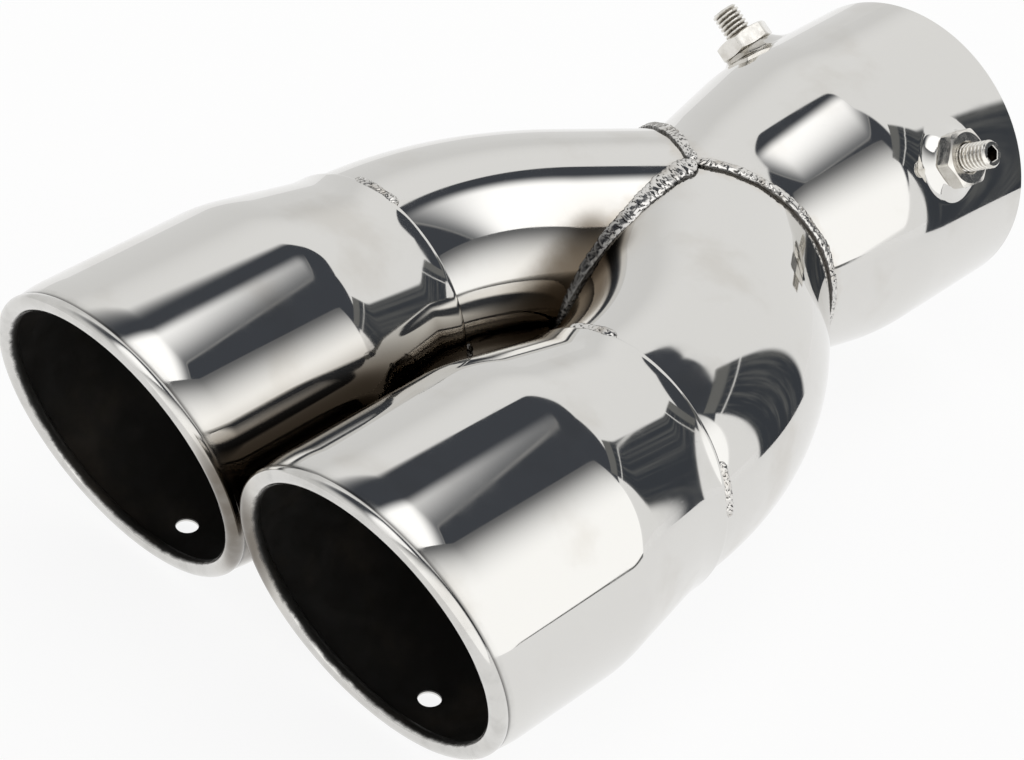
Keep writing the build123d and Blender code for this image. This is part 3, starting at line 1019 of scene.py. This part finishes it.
def flat_object(name, corners):
    """A four-cornered sheet of the stage; returns its node tree and its x, y and z in millimetres."""
    mesh = bpy.data.meshes.new(name)
    mesh.from_pydata([[c * MM for c in p] for p in corners], [], [(0, 1, 2, 3)])
    sheet = bpy.data.objects.new(name, mesh)
    bpy.context.scene.collection.objects.link(sheet)
    material, nodes = new_material(name + "_look")
    mesh.materials.append(material)
    place = nodes.add("ShaderNodeNewGeometry").outputs["Position"]
    split = nodes.add("ShaderNodeSeparateXYZ", {0: place})
    return nodes, [nodes.math("DIVIDE", out, MM) for out in split.outputs]


def between(nodes, value, limits, blur):
    """1 between two limits and 0 outside, with a blurred edge at each."""
    rise = nodes.edge(value, limits[0], blur)
    return nodes.math("MULTIPLY", rise, nodes.edge(value, limits[1], blur, 1.0, 0.0))


def blend(nodes, factor, one, two):
    """A mix of two shaders, joined to the output."""
    mixed = nodes.add("ShaderNodeMixShader", {0: factor, 1: one.outputs[0], 2: two.outputs[0]})
    nodes.add("ShaderNodeOutputMaterial", {"Surface": mixed.outputs[0]})


def shine(nodes, colour, cover):
    """A panel that shines where it covers and is clear elsewhere, and clear to the camera."""
    camera = nodes.add("ShaderNodeLightPath").outputs["Is Camera Ray"]
    factor = nodes.math("MULTIPLY", nodes.math("SUBTRACT", 1.0, camera), cover)
    clear = nodes.add("ShaderNodeBsdfTransparent")
    glow = nodes.add("ShaderNodeEmission", {"Color": colour, "Strength": 1.0})
    blend(nodes, factor, clear, glow)


def level_sheet(name, z, span):
    """A square sheet over the part."""
    return flat_object(name, [(-span, -span, z), (span, -span, z), (span, span, z), (-span, span, z)])


def outside(nodes, past, corner):
    """Distance in millimetres past two edges that meet in a round corner, and less than 0 within them."""
    reach = [nodes.math("ADD", value, corner) for value in past]
    beyond = [nodes.math("MAXIMUM", value, 0.0) for value in reach]
    squares = nodes.math("MULTIPLY_ADD", beyond[0], beyond[0], nodes.math("MULTIPLY", beyond[1], beyond[1]))
    away = nodes.math("SUBTRACT", nodes.math("SQRT", squares), corner)
    return nodes.math("ADD", away, nodes.math("MINIMUM", nodes.math("MAXIMUM", *reach), 0.0))


def make_ceiling():
    """The tent's white ceiling, cut away over the front and right; its edge softens towards the front."""
    nodes, (x, y, _) = level_sheet("tent_ceiling", CEILING_HEIGHT, CEILING_SPAN)
    slant = OPENING["far_slant"]
    tilt = (1 + slant ** 2) ** 0.5
    past_left = nodes.line(x, y, -1.0, OPENING["left_slant"], OPENING["left"])
    past_slant = nodes.line(x, y, -slant / tilt, 1 / tilt, -OPENING["far"] / tilt)
    past = (past_left, nodes.math("MINIMUM", past_slant, nodes.math("SUBTRACT", y, OPENING["flat"])))
    ahead = nodes.math("MAXIMUM", nodes.math("SUBTRACT", OPENING_SOFT_FROM, y), 0.0)
    blur = nodes.math("MULTIPLY_ADD", ahead, OPENING_FRONT_BLUR / 2, OPENING_BLUR / 2)
    back = nodes.math("MULTIPLY", blur, -1.0)
    open_side = nodes.step(outside(nodes, past, OPENING["corner"]), back, blur, 1.0, 0.0)
    open_front = nodes.step(nodes.math("SUBTRACT", OPENING["front"], y), back, blur, 1.0, 0.0)
    closed = nodes.math("SUBTRACT", 1.0, nodes.math("MULTIPLY", open_side, open_front))
    shade = nodes.step(x, *CEILING_SHADE, 1.0, 0.0)
    shine(nodes, nodes.mix(shade, TENT_LIGHT, TENT_SHADE), closed)


def make_softbox():
    """A softbox high above, bright in front, dim towards its far edge and dark past its edges."""
    nodes, (x, y, _) = level_sheet("tent_softbox", SOFTBOX_HEIGHT, SOFTBOX_SPAN)
    far = nodes.line(x, y, sin(SOFTBOX["turn"]), cos(SOFTBOX["turn"]), 0.0)
    edge = SOFTBOX["far"]
    lit = nodes.math("MULTIPLY", nodes.edge(x, SOFTBOX["left"], SOFTBOX["left_blur"]),
                     nodes.edge(far, edge, SOFTBOX["far_blur"], 1.0, 0.0))
    glow = nodes.mix(nodes.step(far, SOFTBOX["bright"], edge), SOFTBOX_LIGHT, SOFTBOX_DIM)
    glow = nodes.mix(nodes.step(far, edge - 2 * SOFTBOX["rim"], edge - SOFTBOX["rim"]), glow, SOFTBOX_RIM)
    shine(nodes, nodes.mix(lit, ABOVE, glow), 1.0)


def make_side():
    """A tall white sheet on the right, dim at its top and with a dark seam at its foot."""
    place = lambda y, z: (SIDE["x"] + SIDE["along_y"] * y + SIDE["along_z"] * z, y, z)
    low, high = SHEET_FOOT, SIDE["top"] + SIDE["blur"]
    front, back = SIDE["front"], SIDE["end"] + SIDE["end_rise"] * high + SIDE["blur"]
    corners = [place(front, low), place(back, low), place(back, high), place(front, high)]
    nodes, (_, y, z) = flat_object("tent_side", corners)
    end = nodes.math("MULTIPLY_ADD", z, -SIDE["end_rise"], y)
    cover = nodes.math("MULTIPLY", nodes.edge(z, SIDE["top"], SIDE["blur"], 1.0, 0.0),
                       nodes.edge(end, SIDE["end"], SIDE["blur"], 1.0, 0.0))
    light = nodes.mix(nodes.step(z, SIDE["top"] - SIDE["fade"], SIDE["top"]), SIDE_LIGHT, SIDE_DIM)
    foot = nodes.edge(z, SIDE["foot"], SIDE["foot_blur"])
    shine(nodes, nodes.mix(foot, FLAG_GREY, light), cover)


def make_flag():
    """A dark cloth at the back with a grey top and a pale seam."""
    soft = FLAG["blur"]
    left, right = FLAG["x"][0] - soft, FLAG["x"][1] + soft
    low, high, back = SHEET_FOOT, CEILING_HEIGHT - FLAG["below_ceiling"], FLAG["y"]
    corners = [(left, back, low), (right, back, low), (right, back, high), (left, back, high)]
    nodes, (x, _, z) = flat_object("tent_flag", corners)
    folds = nodes.noise(60.0, 3.0, stretch=(0.15, 1.0, 1.0))
    height = nodes.math("MULTIPLY_ADD", folds, FLAG["folds"], z)
    band = nodes.step(height, *FLAG["grey"])
    streaks = nodes.step(nodes.noise(90.0, 4.0, 0.6, stretch=(1.0, 1.0, 0.06)), 0.48, 0.72, 0.0, 0.6)
    colour = nodes.mix(nodes.math("MAXIMUM", band, streaks), FLAG_DARK, FLAG_GREY)
    colour = nodes.mix(between(nodes, height, FLAG["line"], FLAG["line_blur"]), colour, FLAG_LINE)
    shine(nodes, colour, between(nodes, x, FLAG["x"], soft))


def make_world():
    """The tent's plain light from all other sides, weaker from the left, and white to the camera."""
    world = bpy.data.worlds.new("studio")
    bpy.context.scene.world = world
    world.use_nodes = True
    nodes = Nodes(world.node_tree)
    ray = nodes.add("ShaderNodeTexCoord").outputs["Generated"]
    side = nodes.add("ShaderNodeSeparateXYZ", {0: ray}).outputs[0]
    light = nodes.mix(nodes.step(side, *WORLD_SHADE), TENT_SHADE, TENT_LIGHT)
    camera = nodes.add("ShaderNodeLightPath").outputs["Is Camera Ray"]
    colour = nodes.mix(camera, light, WHITE)
    background = nodes.add("ShaderNodeBackground", {"Color": colour, "Strength": 1.0})
    nodes.add("ShaderNodeOutputWorld", {"Surface": background.outputs[0]})


def make_floor():
    """A white table through the three points that the part rests on: the lower screw and both lips."""
    screw_end = np.array([0, -SCREW_SETBACK, -(SCREW_START + SCREW_LENGTH)])
    lip_low = np.array([0, -TIP_REACH + tan(SLASH) * TIP_RADIUS - LIP_AHEAD + LIP_RUN, -TIP_RADIUS])
    slope = (lip_low[2] - screw_end[2]) / (lip_low[1] - screw_end[1])
    (left, right), (front, back) = FLOOR["x"], FLOOR["y"]
    level = lambda y: screw_end[2] + slope * (y - screw_end[1]) - FLOOR["gap"]
    corners = [(x, y, level(y)) for x, y in ((left, front), (right, front), (right, back), (left, back))]
    nodes, _ = flat_object("floor", corners)
    paths = nodes.add("ShaderNodeLightPath")
    seen = nodes.math("MAXIMUM", paths.outputs["Is Camera Ray"], paths.outputs["Is Glossy Ray"])
    diffuse = nodes.add("ShaderNodeBsdfDiffuse", {"Color": FLOOR_WHITE})
    glow = nodes.add("ShaderNodeEmission", {"Color": WHITE, "Strength": 1.0})
    blend(nodes, nodes.math("MULTIPLY", seen, FLOOR_GLOW), diffuse, glow)


# Camera, from a fit of the part's outline to the photograph
CAMERA_AZIMUTH = radians(38.292)
CAMERA_ELEVATION = radians(36.911)
CAMERA_ROLL = radians(6.998)
CAMERA_DISTANCE = 629.69
CAMERA_TARGET = (2.819, -130.915, 0.0)
FOCAL_PIXELS = 3203.3
IMAGE_WIDTH = 1024
SENSOR = 36.0


def make_camera():
    """The camera at the photograph's angle."""
    a, e, r = CAMERA_AZIMUTH, CAMERA_ELEVATION, CAMERA_ROLL
    back = Vector((sin(a) * cos(e), -cos(a) * cos(e), sin(e)))
    level = Vector((cos(a), sin(a), 0))
    upright = back.cross(level)
    right = level * cos(r) + upright * sin(r)
    up = upright * cos(r) - level * sin(r)
    data = bpy.data.cameras.new("camera")
    data.sensor_width = SENSOR
    data.lens = FOCAL_PIXELS * SENSOR / IMAGE_WIDTH
    camera = bpy.data.objects.new("camera", data)
    bpy.context.scene.collection.objects.link(camera)
    place = (Vector(CAMERA_TARGET) + back * CAMERA_DISTANCE) * MM
    turned = Matrix((right, up, back)).transposed().to_4x4()
    camera.matrix_world = Matrix.Translation(place) @ turned
    bpy.context.scene.camera = camera


def main():
    """Dresses the part, then sets up its light, floor and camera."""
    steel = steel_material()
    make_collar(steel)
    tips = tip_material()
    welds = weld_material()
    for name, side in SIDES.items():
        make_branch(side, name, steel)
        make_tip(side, name, tips)
        make_tacks(side, name, welds)
    make_beads(welds)
    fasteners = fastener_material()
    for name in SCREW_ANGLES:
        make_nut(name, fasteners)
        make_screw(name, fasteners)
    make_world()
    make_ceiling()
    make_softbox()
    make_side()
    make_flag()
    make_floor()
    make_camera()
    bpy.context.scene.view_settings.view_transform = "Standard"


main()
